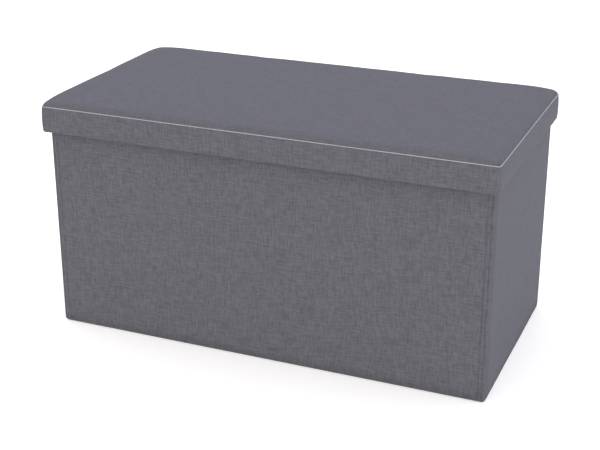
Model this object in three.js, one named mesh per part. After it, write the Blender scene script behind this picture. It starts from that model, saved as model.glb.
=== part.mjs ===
// Storage bench: a long fabric-covered box with a padded lift-off lid and a hinged floor panel.
//
// Frame: millimetres, +X along the length, +Y towards the back, +Z up.
// The origin is on the ground, under the middle of the bench.
//
// How it comes apart:
//   bench body   boards in a sewn fabric shell, lined inside, with a fabric base
//   lid          a padded board whose skirt drops over the walls; it lifts straight off
//   floor panel  a lined board hung on a tape along the back wall; a ribbon pulls it up

import * as THREE from "three";

// ---- Driving dimensions ------------------------------------------------------------------------

// Lid, over its fabric.
const LID_LENGTH = 764;
const LID_DEPTH = 400;
const LID_CORNER_RADIUS = 6;
const SEAM_HEIGHT = 390; // ground to the piped seam between skirt and seat
const SEAT_RISE = 11; // seam to the highest point of the seat
const SEAT_ROUND = 10; // width of the rounded shoulder around the seat
const SEAT_CROWN = 1.5; // how far the middle stands above the shoulder
const SKIRT_DROP = 43; // seam to the skirt's lower edge
const LID_BOARD = 9;
const SKIRT_BOARD = 3;
const PIPING_RADIUS = 1;
const PIPING_INSET = 1.5; // lid outline to the middle of the piping

// Clearances between the skirt's lining and the walls.
const END_CLEARANCE = 2.1;
const SIDE_CLEARANCE = 9.6;

// Walls.
const WALL_BOARD = 9;
const CORNER_SEAM_RADIUS = 3;
const RIM_TURN_DOWN = 40; // how far the outer fabric turns down inside the mouth
const FOLD_LINE = 3; // slot between the two half boards of an end wall

// Floor panel.
const FLOOR_BOARD = 5;
const FLOOR_EDGE_GAP = 1.5; // panel to the front and end linings
const FLOOR_REAR_GAP = 2.4; // panel to the back lining, room for the hinge tape
const HINGE_TAPE_LENGTH = 640;
const HINGE_TAPE_HEIGHT = 22;
const RIBBON_WIDTH = 25;
const RIBBON_LENGTH = 70;
const RIBBON_THICKNESS = 1;

// Sheet goods, and the gap that neighbouring pieces keep.
const FABRIC = 1;
const LINING = 0.8;
const GAP = 0.3;

// ---- Levels and half sizes worked out from them --------------------------------------------------

const lidX = LID_LENGTH / 2;
const lidY = LID_DEPTH / 2;

const skirtThickness = FABRIC + GAP + SKIRT_BOARD + GAP + LINING;
const wallThickness = FABRIC + GAP + WALL_BOARD + GAP + LINING;
const bodyX = lidX - skirtThickness - END_CLEARANCE;
const bodyY = lidY - skirtThickness - SIDE_CLEARANCE;
const innerX = bodyX - wallThickness;
const innerY = bodyY - wallThickness;

const skirtBottom = SEAM_HEIGHT - SKIRT_DROP;
const lidBoardTop = SEAM_HEIGHT - 2 * PIPING_RADIUS;
const lidBoardBottom = lidBoardTop - LID_BOARD;
const lidLiningBottom = lidBoardBottom - GAP - LINING;
const wallTop = lidLiningBottom - GAP;
const panelTop = wallTop - FABRIC - GAP; // top of the boards and covers, under the rim's fabric
const panelBottom = FABRIC + GAP; // they stand on the base fabric
const rimBottom = wallTop - RIM_TURN_DOWN;

const floorBackingBottom = FABRIC + GAP;
const floorBoardBottom = floorBackingBottom + LINING + GAP;
const floorCoverBottom = floorBoardBottom + FLOOR_BOARD + GAP;
const floorTop = floorCoverBottom + LINING;
const floorRear = innerY - FLOOR_REAR_GAP;
const floorFront = -innerY + FLOOR_EDGE_GAP;
const floorX = innerX - FLOOR_EDGE_GAP;

// ---- Finishes ------------------------------------------------------------------------------------

const finish = (name, color, roughness) => {
  const material = new THREE.MeshStandardMaterial({ color, roughness, metalness: 0 });
  material.name = name;
  return material;
};
const wallFabric = () => finish("linen_weave_fabric", 0x69696e, 0.95);
const seatFabric = () => finish("linen_weave_fabric", 0x70717a, 0.95);
const pipingCord = () => finish("pale_piping_cord", 0xbcbdc2, 0.8);
const nonWoven = () => finish("non_woven_lining", 0x3a3a3d, 0.9);
const boardWood = () => finish("fibreboard", 0xa98a64, 0.75);
const foam = () => finish("seat_foam", 0xe8e2cf, 0.9);
const tape = () => finish("woven_tape", 0x2c2c2f, 0.85);

// ---- Geometry helpers ----------------------------------------------------------------------------

const ARC_STEPS = 5; // steps in each rounded corner
const MIN_RADIUS = 1; // smallest corner radius left by an inset

// A closed outline with round corners at one height, counter-clockwise seen from above.
function roundedRing(halfX, halfY, radius, z) {
  const points = [];
  const corners = [[1, 1], [-1, 1], [-1, -1], [1, -1]];
  corners.forEach(([sideX, sideY], quarter) => {
    for (let step = 0; step <= ARC_STEPS; step++) {
      const angle = (quarter + step / ARC_STEPS) * (Math.PI / 2);
      points.push(new THREE.Vector3(
        sideX * (halfX - radius) + radius * Math.cos(angle),
        sideY * (halfY - radius) + radius * Math.sin(angle),
        z,
      ));
    }
  });
  return points;
}

// The outline of the lid or the body, drawn in from its edge by an inset.
function insetRing(halfX, halfY, cornerRadius, [inset, z]) {
  const radius = Math.max(cornerRadius - inset, MIN_RADIUS);
  return roundedRing(halfX - inset, halfY - inset, radius, z);
}

// A closed solid through a stack of rings: either a band whose last ring joins the first, or a
// body closed by a fan at both ends. The rings run so that the faces point out.
function loft(rings, { band }) {
  const count = rings[0].length;
  const vertices = rings.flat();
  const faces = [];
  const joins = band ? rings.length : rings.length - 1;
  for (let ring = 0; ring < joins; ring++) {
    const lower = ring * count;
    const upper = ((ring + 1) % rings.length) * count;
    for (let i = 0; i < count; i++) {
      const next = (i + 1) % count;
      faces.push(lower + i, lower + next, upper + next);
      faces.push(lower + i, upper + next, upper + i);
    }
  }
  if (!band) {
    const last = (rings.length - 1) * count;
    const startPole = vertices.push(new THREE.Vector3(0, 0, rings[0][0].z)) - 1;
    const endPole = vertices.push(new THREE.Vector3(0, 0, rings.at(-1)[0].z)) - 1;
    for (let i = 0; i < count; i++) {
      const next = (i + 1) % count;
      faces.push(startPole, next, i);
      faces.push(endPole, last + i, last + next);
    }
  }
  const geometry = new THREE.BufferGeometry().setFromPoints(vertices);
  geometry.setIndex(faces);
  geometry.computeVertexNormals();
  return geometry;
}

// A flat piece or a bar between two opposite corners.
function slab([x0, x1], [y0, y1], [z0, z1]) {
  const geometry = new THREE.BoxGeometry(x1 - x0, y1 - y0, z1 - z0);
  geometry.translate((x0 + x1) / 2, (y0 + y1) / 2, (z0 + z1) / 2);
  return geometry;
}

// A slab along the front (side -1) or the back (side +1), between two insets from a half depth.
function longSlab(side, halfLength, halfDepth, [outer, inner], levels) {
  const y = [side * (halfDepth - outer), side * (halfDepth - inner)].sort((a, b) => a - b);
  return slab([-halfLength, halfLength], y, levels);
}

// A slab across the left end (side -1) or the right end (side +1).
function endSlab(side, halfLength, [y0, y1], [outer, inner], levels) {
  const x = [side * (halfLength - outer), side * (halfLength - inner)].sort((a, b) => a - b);
  return slab(x, [y0, y1], levels);
}

function piece(name, geometry, material) {
  const mesh = new THREE.Mesh(geometry, material);
  mesh.name = name;
  return mesh;
}

const LONG_SIDES = { front: -1, back: 1 };
const END_SIDES = { left: -1, right: 1 };

// ---- Lid -----------------------------------------------------------------------------------------

const lidRing = (point) => insetRing(lidX, lidY, LID_CORNER_RADIUS, point);

// The seat's section from its rim to near the middle, as [inset, height] points. The offset
// draws it in, square to the surface, for the layers below the outermost one.
function seatSection(offset) {
  const rimHeight = SEAM_HEIGHT + PIPING_RADIUS + GAP;
  const shoulderRise = SEAT_RISE - SEAT_CROWN - PIPING_RADIUS - GAP;
  const steps = 5;
  const section = [];
  for (let step = 0; step <= steps; step++) {
    const angle = (step / steps) * (Math.PI / 2);
    section.push([
      FABRIC + SEAT_ROUND * (1 - Math.cos(angle)) + offset * Math.cos(angle),
      rimHeight + (shoulderRise - offset) * Math.sin(angle),
    ]);
  }
  const [shoulderInset, shoulderHeight] = section.at(-1);
  const flatWidth = lidY - shoulderInset;
  for (const share of [0.25, 0.55, 0.9]) {
    const rise = SEAT_CROWN * Math.sin(share * (Math.PI / 2));
    section.push([shoulderInset + share * flatWidth, shoulderHeight + rise]);
  }
  section.at(-1)[1] = shoulderHeight + SEAT_CROWN;
  return section;
}

function lidTopCover() {
  const outside = seatSection(0);
  const inside = seatSection(FABRIC).reverse();
  return loft([...inside, ...outside].map(lidRing), { band: false });
}

function lidFoam() {
  const side = PIPING_INSET + PIPING_RADIUS + GAP;
  const section = seatSection(FABRIC + GAP).slice(1);
  const bottom = [side, lidBoardTop + GAP];
  const shoulderStart = [side, SEAM_HEIGHT + PIPING_RADIUS + GAP];
  return loft([bottom, shoulderStart, ...section].map(lidRing), { band: false });
}

function lidBoard() {
  const inset = FABRIC + GAP;
  return loft([[inset, lidBoardBottom], [inset, lidBoardTop]].map(lidRing), { band: false });
}

function lidLining() {
  const inset = skirtThickness + GAP;
  const top = lidLiningBottom + LINING;
  return loft([[inset, lidLiningBottom], [inset, top]].map(lidRing), { band: false });
}

function lidPiping() {
  const sides = 8;
  const section = [];
  for (let i = 0; i < sides; i++) {
    const angle = (i / sides) * 2 * Math.PI;
    section.push([
      PIPING_INSET - PIPING_RADIUS * Math.cos(angle),
      SEAM_HEIGHT + PIPING_RADIUS * Math.sin(angle),
    ]);
  }
  return loft(section.map(lidRing), { band: true });
}

// The skirt's fabric stands outside the boards and turns in under them as a hem.
function lidSkirtCover() {
  const top = lidBoardTop + PIPING_RADIUS - GAP;
  const section = [
    [0, skirtBottom],
    [0, top],
    [FABRIC, top],
    [FABRIC, skirtBottom + FABRIC],
    [skirtThickness, skirtBottom + FABRIC],
    [skirtThickness, skirtBottom],
  ];
  return loft(section.map(lidRing), { band: true });
}

function makeLid() {
  const lid = new THREE.Group();
  lid.add(
    piece("lid_board", lidBoard(), boardWood()),
    piece("lid_foam", lidFoam(), foam()),
    piece("lid_top_cover", lidTopCover(), seatFabric()),
    piece("lid_seam_piping", lidPiping(), pipingCord()),
    piece("lid_skirt_cover", lidSkirtCover(), wallFabric()),
    piece("lid_lining", lidLining(), nonWoven()),
  );

  const levels = [skirtBottom + FABRIC + GAP, lidBoardBottom - GAP];
  const board = [FABRIC + GAP, FABRIC + GAP + SKIRT_BOARD];
  const lining = [skirtThickness - LINING, skirtThickness];
  // The straight pieces end before the round corner, and clear of the pieces round it.
  const cornerReach = Math.max(LID_CORNER_RADIUS, skirtThickness + GAP);
  const straightX = lidX - cornerReach;
  const straightY = lidY - cornerReach;
  for (const [name, side] of Object.entries(LONG_SIDES)) {
    const boardShape = longSlab(side, straightX, lidY, board, levels);
    const liningShape = longSlab(side, straightX, lidY, lining, levels);
    lid.add(piece(`skirt_board_${name}`, boardShape, boardWood()));
    lid.add(piece(`skirt_lining_${name}`, liningShape, nonWoven()));
  }
  for (const [name, side] of Object.entries(END_SIDES)) {
    const boardShape = endSlab(side, lidX, [-straightY, straightY], board, levels);
    const liningShape = endSlab(side, lidX, [-straightY, straightY], lining, levels);
    lid.add(piece(`skirt_board_${name}`, boardShape, boardWood()));
    lid.add(piece(`skirt_lining_${name}`, liningShape, nonWoven()));
  }
  return lid;
}

// ---- Bench body ----------------------------------------------------------------------------------

const bodyRing = (point) => insetRing(bodyX, bodyY, 2 * CORNER_SEAM_RADIUS, point);

// The outer fabric crosses the top of the walls and turns down inside, in one sewn band.
function rimFacing() {
  const section = [
    [0, wallTop - FABRIC],
    [0, wallTop],
    [wallThickness, wallTop],
    [wallThickness, rimBottom],
    [wallThickness - LINING, rimBottom],
    [wallThickness - LINING, wallTop - FABRIC],
  ];
  return loft(section.map(bodyRing), { band: true });
}

function baseFabric() {
  return loft([[0, 0], [0, FABRIC]].map(bodyRing), { band: false });
}

function cornerSeam(sideX, sideY) {
  const height = panelTop - panelBottom;
  const geometry = new THREE.CylinderGeometry(CORNER_SEAM_RADIUS, CORNER_SEAM_RADIUS, height, 12);
  geometry.rotateX(Math.PI / 2);
  geometry.translate(
    sideX * (bodyX - CORNER_SEAM_RADIUS),
    sideY * (bodyY - CORNER_SEAM_RADIUS),
    (panelTop + panelBottom) / 2,
  );
  return geometry;
}

function makeLongWall(name, side) {
  const wall = new THREE.Group();
  const straightX = bodyX - 2 * CORNER_SEAM_RADIUS - GAP;
  const liningX = innerX + LINING;
  const tall = [panelBottom, panelTop];
  const lined = [panelBottom, rimBottom - GAP];
  const board = [FABRIC + GAP, FABRIC + GAP + WALL_BOARD];
  const lining = [wallThickness - LINING, wallThickness];
  wall.add(
    piece(`wall_board_${name}`, longSlab(side, straightX, bodyY, board, tall), boardWood()),
    piece(`wall_cover_${name}`, longSlab(side, straightX, bodyY, [0, FABRIC], tall), wallFabric()),
    piece(`wall_lining_${name}`, longSlab(side, liningX, bodyY, lining, lined), nonWoven()),
  );
  return wall;
}

// An end wall has two half boards that meet at an upright fold line behind one taut cover.
function makeEndWall(name, side) {
  const wall = new THREE.Group();
  const coverY = bodyY - 2 * CORNER_SEAM_RADIUS - GAP;
  const boardY = bodyY - FABRIC - GAP - WALL_BOARD - GAP;
  const liningY = innerY - GAP;
  const tall = [panelBottom, panelTop];
  const lined = [panelBottom, rimBottom - GAP];
  const board = [FABRIC + GAP, FABRIC + GAP + WALL_BOARD];
  const lining = [wallThickness - LINING, wallThickness];
  const frontHalf = [-boardY, -FOLD_LINE / 2];
  const rearHalf = [FOLD_LINE / 2, boardY];
  wall.add(
    piece(`end_board_${name}_front`, endSlab(side, bodyX, frontHalf, board, tall), boardWood()),
    piece(`end_board_${name}_rear`, endSlab(side, bodyX, rearHalf, board, tall), boardWood()),
    piece(`wall_cover_${name}`, endSlab(side, bodyX, [-coverY, coverY], [0, FABRIC], tall),
      wallFabric()),
    piece(`wall_lining_${name}`, endSlab(side, bodyX, [-liningY, liningY], lining, lined),
      nonWoven()),
  );
  return wall;
}

function makeBody() {
  const body = new THREE.Group();
  for (const [name, side] of Object.entries(LONG_SIDES)) {
    body.add(makeLongWall(name, side));
  }
  for (const [name, side] of Object.entries(END_SIDES)) {
    body.add(makeEndWall(name, side));
    for (const [longName, longSide] of Object.entries(LONG_SIDES)) {
      const seam = cornerSeam(side, longSide);
      body.add(piece(`corner_seam_${longName}_${name}`, seam, wallFabric()));
    }
  }
  body.add(piece("wall_rim_facing", rimFacing(), wallFabric()));
  body.add(piece("base_fabric", baseFabric(), nonWoven()));

  const tapeDepth = [floorRear + GAP, innerY - GAP];
  const tapeLevels = [panelBottom, floorTop + HINGE_TAPE_HEIGHT];
  const tapeHalf = HINGE_TAPE_LENGTH / 2;
  const tapeShape = slab([-tapeHalf, tapeHalf], tapeDepth, tapeLevels);
  body.add(piece("floor_hinge_tape", tapeShape, tape()));
  return body;
}

// ---- Floor panel: its hinge line is its upper rear edge --------------------------------------------

function makeFloorPanel() {
  const panel = new THREE.Group();
  const x = [-floorX, floorX];
  const y = [floorFront, floorRear];
  const backing = slab(x, y, [floorBackingBottom, floorBackingBottom + LINING]);
  const board = slab(x, y, [floorBoardBottom, floorBoardBottom + FLOOR_BOARD]);
  const cover = slab(x, y, [floorCoverBottom, floorTop]);
  const ribbonFront = floorFront + GAP;
  const ribbon = slab(
    [-RIBBON_WIDTH / 2, RIBBON_WIDTH / 2],
    [ribbonFront, ribbonFront + RIBBON_LENGTH],
    [floorTop + GAP, floorTop + GAP + RIBBON_THICKNESS],
  );
  panel.add(
    piece("floor_backing", backing, nonWoven()),
    piece("floor_board", board, boardWood()),
    piece("floor_cover", cover, nonWoven()),
    piece("floor_pull_ribbon", ribbon, tape()),
  );
  return panel;
}

// ---- The whole bench -----------------------------------------------------------------------------

const bench = new THREE.Group();
bench.name = "storage_bench";
bench.add(makeBody(), makeFloorPanel(), makeLid());

export default bench;
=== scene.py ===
# %% [markdown]
# # A fabric storage bench, finished around its working model
#
# The working model holds every board, cover and joint of the bench at its true size. This
# lesson dresses it: each soft part gets a shape with the small rolls, seams and dimples that
# cloth has, and each surface gets a procedural finish. Nothing is moved or resized, so the
# lid still lifts and the floor panel still swings.

import math

import bmesh
import bpy
from mathutils import Euler, Matrix, Vector, noise


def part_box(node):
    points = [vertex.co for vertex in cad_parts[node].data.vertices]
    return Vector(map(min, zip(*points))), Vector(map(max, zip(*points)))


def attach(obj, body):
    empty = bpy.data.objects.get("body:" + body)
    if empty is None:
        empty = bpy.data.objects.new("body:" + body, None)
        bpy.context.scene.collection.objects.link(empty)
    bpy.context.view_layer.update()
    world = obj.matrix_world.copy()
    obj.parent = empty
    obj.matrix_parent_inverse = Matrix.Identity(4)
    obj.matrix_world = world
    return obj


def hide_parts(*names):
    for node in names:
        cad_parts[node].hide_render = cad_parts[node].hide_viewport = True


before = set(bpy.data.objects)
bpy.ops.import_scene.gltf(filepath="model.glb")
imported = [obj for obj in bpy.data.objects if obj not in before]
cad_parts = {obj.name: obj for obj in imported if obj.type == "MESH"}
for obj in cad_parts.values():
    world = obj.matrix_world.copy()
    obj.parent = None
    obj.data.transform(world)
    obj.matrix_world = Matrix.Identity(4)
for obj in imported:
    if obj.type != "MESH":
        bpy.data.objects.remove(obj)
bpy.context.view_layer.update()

MM = 0.001

# %% [markdown]
# ## Where things are
#
# The places of the pieces come from the frame's own boxes. A box is read once, given a plain
# name, and used from there on, so a bench of another size would be dressed as well. Only
# small measures, such as the two corner radii, are written here as numbers.

# %% Levels and half sizes
skirt_low, skirt_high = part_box("lid_skirt_cover")
piping_low, piping_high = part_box("lid_seam_piping")
rim_low, rim_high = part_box("wall_rim_facing")
floor_low, floor_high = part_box("floor_cover")

LID_X, LID_Y = skirt_high.x, skirt_high.y
BODY_X, BODY_Y = rim_high.x, rim_high.y
SEAM_Z = (piping_low.z + piping_high.z) / 2
SKIRT_Z = skirt_low.z
SEAT_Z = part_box("lid_top_cover")[1].z
RIM_Z = rim_high.z
LID_CORNER = 6 * MM
BODY_CORNER = 6 * MM
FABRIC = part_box("base_fabric")[1].z
print(f"lid {2 * LID_X:.3f} x {2 * LID_Y:.3f} m, seat at {SEAT_Z:.3f} m")

# %% [markdown]
# ## Camera
#
# A product picture is taken from a little above and to one side. The camera is set by how
# far round it stands, how steeply it looks down and where it stands, which is how the person
# behind it would say it. A long lens keeps the box from looking stretched.

# %% Camera
VIEW_ROUND = math.radians(22.29)
VIEW_DOWN = math.radians(21.43)
VIEW_ROLL = math.radians(0.08)
CAMERA_PLACE = Vector((0.7604, -1.8442, 0.9877))
SENSOR_WIDTH = 36.0
LENS = 75.36
FRAME_SHIFT = (-0.0113, -0.0345)

camera_data = bpy.data.cameras.new("studio_camera")
camera_data.sensor_width = SENSOR_WIDTH
camera_data.lens = LENS
camera_data.shift_x, camera_data.shift_y = FRAME_SHIFT
camera = bpy.data.objects.new("studio_camera", camera_data)
turn = Euler((math.pi / 2 - VIEW_DOWN, 0, VIEW_ROUND), "XYZ").to_matrix()
roll = Matrix.Rotation(VIEW_ROLL, 3, "Z")
camera.matrix_world = Matrix.Translation(CAMERA_PLACE) @ (turn @ roll).to_4x4()
bpy.context.scene.collection.objects.link(camera)
bpy.context.scene.camera = camera
print("camera stands", round(CAMERA_PLACE.length, 2), "m from the bench")

# %% [markdown]
# ## Stage and light
#
# The bench stands on a pale table under soft light. A white surround does most of the work, as
# a light tent does. Its upper right side is a little cooler, like daylight through a blind,
# and its front a little warmer. A low area lamp lifts the right end. The table top glows a
# little, as a lit acrylic table does, which softens the shadow around the foot and gives
# back the light that the lower walls lose to the floor.

# %% Stage and light
scene = bpy.context.scene
scene.view_settings.view_transform = "Standard"

DAYLIGHT_FROM = (0.55, 0.35, 0.76)
DAYLIGHT_TINT = (0.93, 0.96, 1.06, 1)
FRONT_TINT = (1.04, 0.99, 0.96, 1)
TENT_STRENGTH = 1.27
TABLE_GLOW = 0.26
TABLE_HALF = 6.0
TABLE_BELOW = 0.2 * MM

world = bpy.data.worlds.new("light_tent")
world.use_nodes = True
sky = world.node_tree
direction = sky.nodes.new("ShaderNodeTexCoord")
towards = sky.nodes.new("ShaderNodeVectorMath")
towards.operation = "DOT_PRODUCT"
towards.inputs[1].default_value = DAYLIGHT_FROM
share = sky.nodes.new("ShaderNodeMapRange")
share.inputs["From Min"].default_value = -1.0
tint = sky.nodes.new("ShaderNodeMix")
tint.data_type = "RGBA"
tint.inputs[6].default_value = FRONT_TINT
tint.inputs[7].default_value = DAYLIGHT_TINT
sky.links.new(direction.outputs["Generated"], towards.inputs[0])
sky.links.new(towards.outputs["Value"], share.inputs["Value"])
sky.links.new(share.outputs[0], tint.inputs[0])
sky.links.new(tint.outputs[2], sky.nodes["Background"].inputs["Color"])
sky.nodes["Background"].inputs["Strength"].default_value = TENT_STRENGTH
scene.world = world


def soft_lamp(name, place, aim, size, power, colour):
    """A square area lamp at a place, turned towards a point."""
    data = bpy.data.lights.new(name, "AREA")
    data.shape = "SQUARE"
    data.size = size
    data.energy = power
    data.color = colour
    lamp = bpy.data.objects.new(name, data)
    lamp.location = place
    lamp.rotation_euler = (Vector(aim) - Vector(place)).to_track_quat("-Z", "Y").to_euler()
    scene.collection.objects.link(lamp)


middle = (0, 0, SEAT_Z / 2)
soft_lamp("end_softbox", place=(3.0, -0.6, 0.45), aim=middle, size=0.8, power=1.5,
          colour=(0.66, 0.74, 1.0))

bm = bmesh.new()
bmesh.ops.create_grid(bm, x_segments=1, y_segments=1, size=TABLE_HALF)
bmesh.ops.translate(bm, vec=(0, 0, -TABLE_BELOW), verts=bm.verts)
floor_mesh = bpy.data.meshes.new("studio_floor")
bm.to_mesh(floor_mesh)
bm.free()
studio_floor = bpy.data.objects.new("studio_floor", floor_mesh)
scene.collection.objects.link(studio_floor)

paper = bpy.data.materials.new("lit_white_table")
paper.use_nodes = True
paper_shader = paper.node_tree.nodes["Principled BSDF"]
paper_shader.inputs["Base Color"].default_value = (0.95, 0.93, 0.89, 1)
paper_shader.inputs["Roughness"].default_value = 0.9
paper_shader.inputs["Emission Color"].default_value = (1.0, 0.98, 0.96, 1)
paper_shader.inputs["Emission Strength"].default_value = TABLE_GLOW
floor_mesh.materials.append(paper)

# %% [markdown]
# ## A helper for shader nodes
#
# A finish here is a small network of nodes. `wire` makes one node, sets its values and joins
# its inputs in one call, so that a pattern reads as a short list of steps.

# %% Node helper
def wire(tree, kind, values=None, **settings):
    """Adds a node; values maps an input's name or number to a number, a colour or a socket."""
    made = tree.nodes.new(kind)
    for setting, value in settings.items():
        setattr(made, setting, value)
    for key, value in (values or {}).items():
        if isinstance(value, bpy.types.NodeSocket):
            tree.links.new(value, made.inputs[key])
        else:
            made.inputs[key].default_value = value
    return made


def maths(tree, operation, a, b=0.0):
    """One Math node, and its result."""
    return wire(tree, "ShaderNodeMath", {0: a, 1: b}, operation=operation).outputs[0]


def new_group(name, inputs, outputs):
    """A shader node group with named inputs (name, kind, default) and outputs (name, kind)."""
    group = bpy.data.node_groups.new(name, "ShaderNodeTree")
    for label, kind, default in inputs:
        socket = group.interface.new_socket(name=label, in_out="INPUT", socket_type=kind)
        if default is not None:
            socket.default_value = default
    for label, kind in outputs:
        group.interface.new_socket(name=label, in_out="OUTPUT", socket_type=kind)
    return group, wire(group, "NodeGroupInput"), wire(group, "NodeGroupOutput")


print("node helpers ready")

# %% [markdown]
# ## Linen-look weave
#
# The cover is a plain weave of melange yarns: each yarn changes shade along its length, which
# gives the short light and dark dashes of linen. Here and there a yarn thickens into a slub.
# The group numbers the yarns both ways by rounding down the cloth's own coordinates, gives
# each yarn a noise of its own, stretched along it, and lets warp and weft take turns on top.
# Slubs are two wider noises, one stretched each way, laid over each other. The turns also
# give the height for the bump, so colour and relief agree.

# %% Weave node group
FLOAT, COLOUR, VECTOR = "NodeSocketFloat", "NodeSocketColor", "NodeSocketVector"
YARN_APART = 3.73
SLUB_ALONG, SLUB_ACROSS = 0.06, 0.5
SLUB_IN_HEIGHT = 0.2
PATCH_SCALE = 22.0


def weave_group():
    group, given, result = new_group(
        "melange_weave",
        [
            ("Cloth", VECTOR, None),
            ("Yarn", FLOAT, 0.9 * MM),
            ("Dash", FLOAT, 0.12),
            ("Dark", COLOUR, (0.10, 0.10, 0.11, 1)),
            ("Light", COLOUR, (0.25, 0.25, 0.27, 1)),
            ("Slub", FLOAT, 0.9),
            ("Patchiness", FLOAT, 0.06),
            ("Contrast", FLOAT, 1.0),
        ],
        [("Color", COLOUR), ("Height", FLOAT), ("Roughness", FLOAT)],
    )
    pitch = given.outputs["Yarn"]
    pitches = wire(group, "ShaderNodeCombineXYZ", {0: pitch, 1: pitch, 2: pitch})
    scaled = wire(
        group, "ShaderNodeVectorMath", {0: given.outputs["Cloth"], 1: pitches.outputs[0]},
        operation="DIVIDE",
    )
    across = wire(group, "ShaderNodeSeparateXYZ", {0: scaled.outputs[0]})
    u, v = across.outputs[0], across.outputs[1]
    warp_number, weft_number = maths(group, "FLOOR", u), maths(group, "FLOOR", v)

    def yarn_shade(x, y, depth, detail=2.0):
        place = wire(group, "ShaderNodeCombineXYZ", {0: x, 1: y, 2: depth})
        return wire(
            group, "ShaderNodeTexNoise",
            {"Vector": place.outputs[0], "Scale": 1.0, "Detail": detail, "Roughness": 0.65},
        ).outputs["Fac"]

    along_warp = maths(group, "MULTIPLY", v, given.outputs["Dash"])
    along_weft = maths(group, "MULTIPLY", u, given.outputs["Dash"])
    warp_shade = yarn_shade(maths(group, "MULTIPLY", warp_number, YARN_APART), along_warp, 1.7)
    weft_shade = yarn_shade(along_weft, maths(group, "MULTIPLY", weft_number, YARN_APART), 9.1)

    turn_sum = maths(group, "ADD", warp_number, weft_number)
    warp_under = maths(group, "FLOORED_MODULO", turn_sum, 2.0)
    shade = wire(group, "ShaderNodeMix", {0: warp_under, 2: warp_shade, 3: weft_shade}).outputs[0]

    wide_u, wide_v = (maths(group, "MULTIPLY", axis, SLUB_ACROSS) for axis in (u, v))
    long_u, long_v = (maths(group, "MULTIPLY", axis, SLUB_ALONG) for axis in (u, v))
    warp_slub = yarn_shade(wide_u, long_v, 3.3, 0.0)
    weft_slub = yarn_shade(long_u, wide_v, 7.7, 0.0)
    both = maths(group, "ADD", warp_slub, weft_slub)
    slub = wire(
        group, "ShaderNodeMapRange", {"Value": both, "From Min": 0.6, "From Max": 1.4},
    ).outputs[0]
    slub_shift = maths(group, "MULTIPLY", maths(group, "SUBTRACT", slub, 0.5),
                       given.outputs["Slub"])

    round_u = maths(group, "SINE", maths(group, "MULTIPLY", maths(group, "FRACT", u), math.pi))
    round_v = maths(group, "SINE", maths(group, "MULTIPLY", maths(group, "FRACT", v), math.pi))
    crown = maths(group, "MULTIPLY", round_u, round_v)
    yarn_height = maths(group, "POWER", crown, 0.5)
    height = wire(group, "ShaderNodeMix", {0: SLUB_IN_HEIGHT, 2: yarn_height, 3: slub}).outputs[0]

    patch = wire(
        group, "ShaderNodeTexNoise",
        {"Vector": given.outputs["Cloth"], "Scale": PATCH_SCALE, "Detail": 3.0, "Roughness": 0.6},
    ).outputs["Fac"]
    patch_shift = maths(group, "MULTIPLY", maths(group, "SUBTRACT", patch, 0.5),
                        given.outputs["Patchiness"])
    spread = wire(
        group, "ShaderNodeMapRange",
        {"Value": shade, "From Min": 0.28, "From Max": 0.72},
    ).outputs[0]
    uneven = maths(group, "ADD", maths(group, "ADD", spread, patch_shift), slub_shift)
    swing = maths(group, "MULTIPLY", maths(group, "SUBTRACT", uneven, 0.5),
                  given.outputs["Contrast"])
    mixed = maths(group, "ADD", swing, 0.5)
    colour = wire(
        group, "ShaderNodeMix",
        {0: mixed, 6: given.outputs["Dark"], 7: given.outputs["Light"]}, data_type="RGBA",
    ).outputs[2]
    gap_shade = wire(
        group, "ShaderNodeMapRange",
        {"Value": yarn_height, "From Max": 0.8, "To Min": 0.55, "To Max": 1.05},
    ).outputs[0]
    gaps = wire(group, "ShaderNodeCombineColor", {0: gap_shade, 1: gap_shade, 2: gap_shade})
    shaded = wire(
        group, "ShaderNodeMix", {0: 1.0, 6: colour, 7: gaps.outputs[0]},
        data_type="RGBA", blend_type="MULTIPLY",
    ).outputs[2]
    rough = wire(
        group, "ShaderNodeMapRange",
        {"Value": spread, "To Min": 0.96, "To Max": 0.82},
    ).outputs[0]
    group.links.new(shaded, result.inputs["Color"])
    group.links.new(height, result.inputs["Height"])
    group.links.new(rough, result.inputs["Roughness"])
    return group


WEAVE = weave_group()
print("weave group has", len(WEAVE.nodes), "nodes")

# %% [markdown]
# ## Finishes
#
# Each finish is one material. Woven goods place the weave group with their own yarn size and shades.
# Where the cloth faces up over the seat or along the ends, its shades are made lighter and cooler:
# painted light, for the brighter, cooler light that falls on the top and the right end. Its weave
# there is also calmer, so the finish changes with the way the cloth faces. The lining is a pressed
# non-woven, so it gets bond dots instead of yarns. What is the same all over, such as sheen, is set
# on the shader itself.

# %% Woven finish helpers
CLOTH_SPECULAR = 0.07
SHEEN_ROUGHNESS = 0.45
WEAVE_BUMP = 0.6


def start_material(name, roughness, sheen=0.0, sheen_tint=(1, 1, 1, 1)):
    """A material with one Principled shader, its even values set on the shader's sockets."""
    material = bpy.data.materials.new(name)
    material.use_nodes = True
    shader = material.node_tree.nodes["Principled BSDF"]
    shader.inputs["Roughness"].default_value = roughness
    shader.inputs["Specular IOR Level"].default_value = CLOTH_SPECULAR
    shader.inputs["Sheen Weight"].default_value = sheen
    shader.inputs["Sheen Roughness"].default_value = SHEEN_ROUGHNESS
    shader.inputs["Sheen Tint"].default_value = sheen_tint
    return material, material.node_tree, shader


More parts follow.
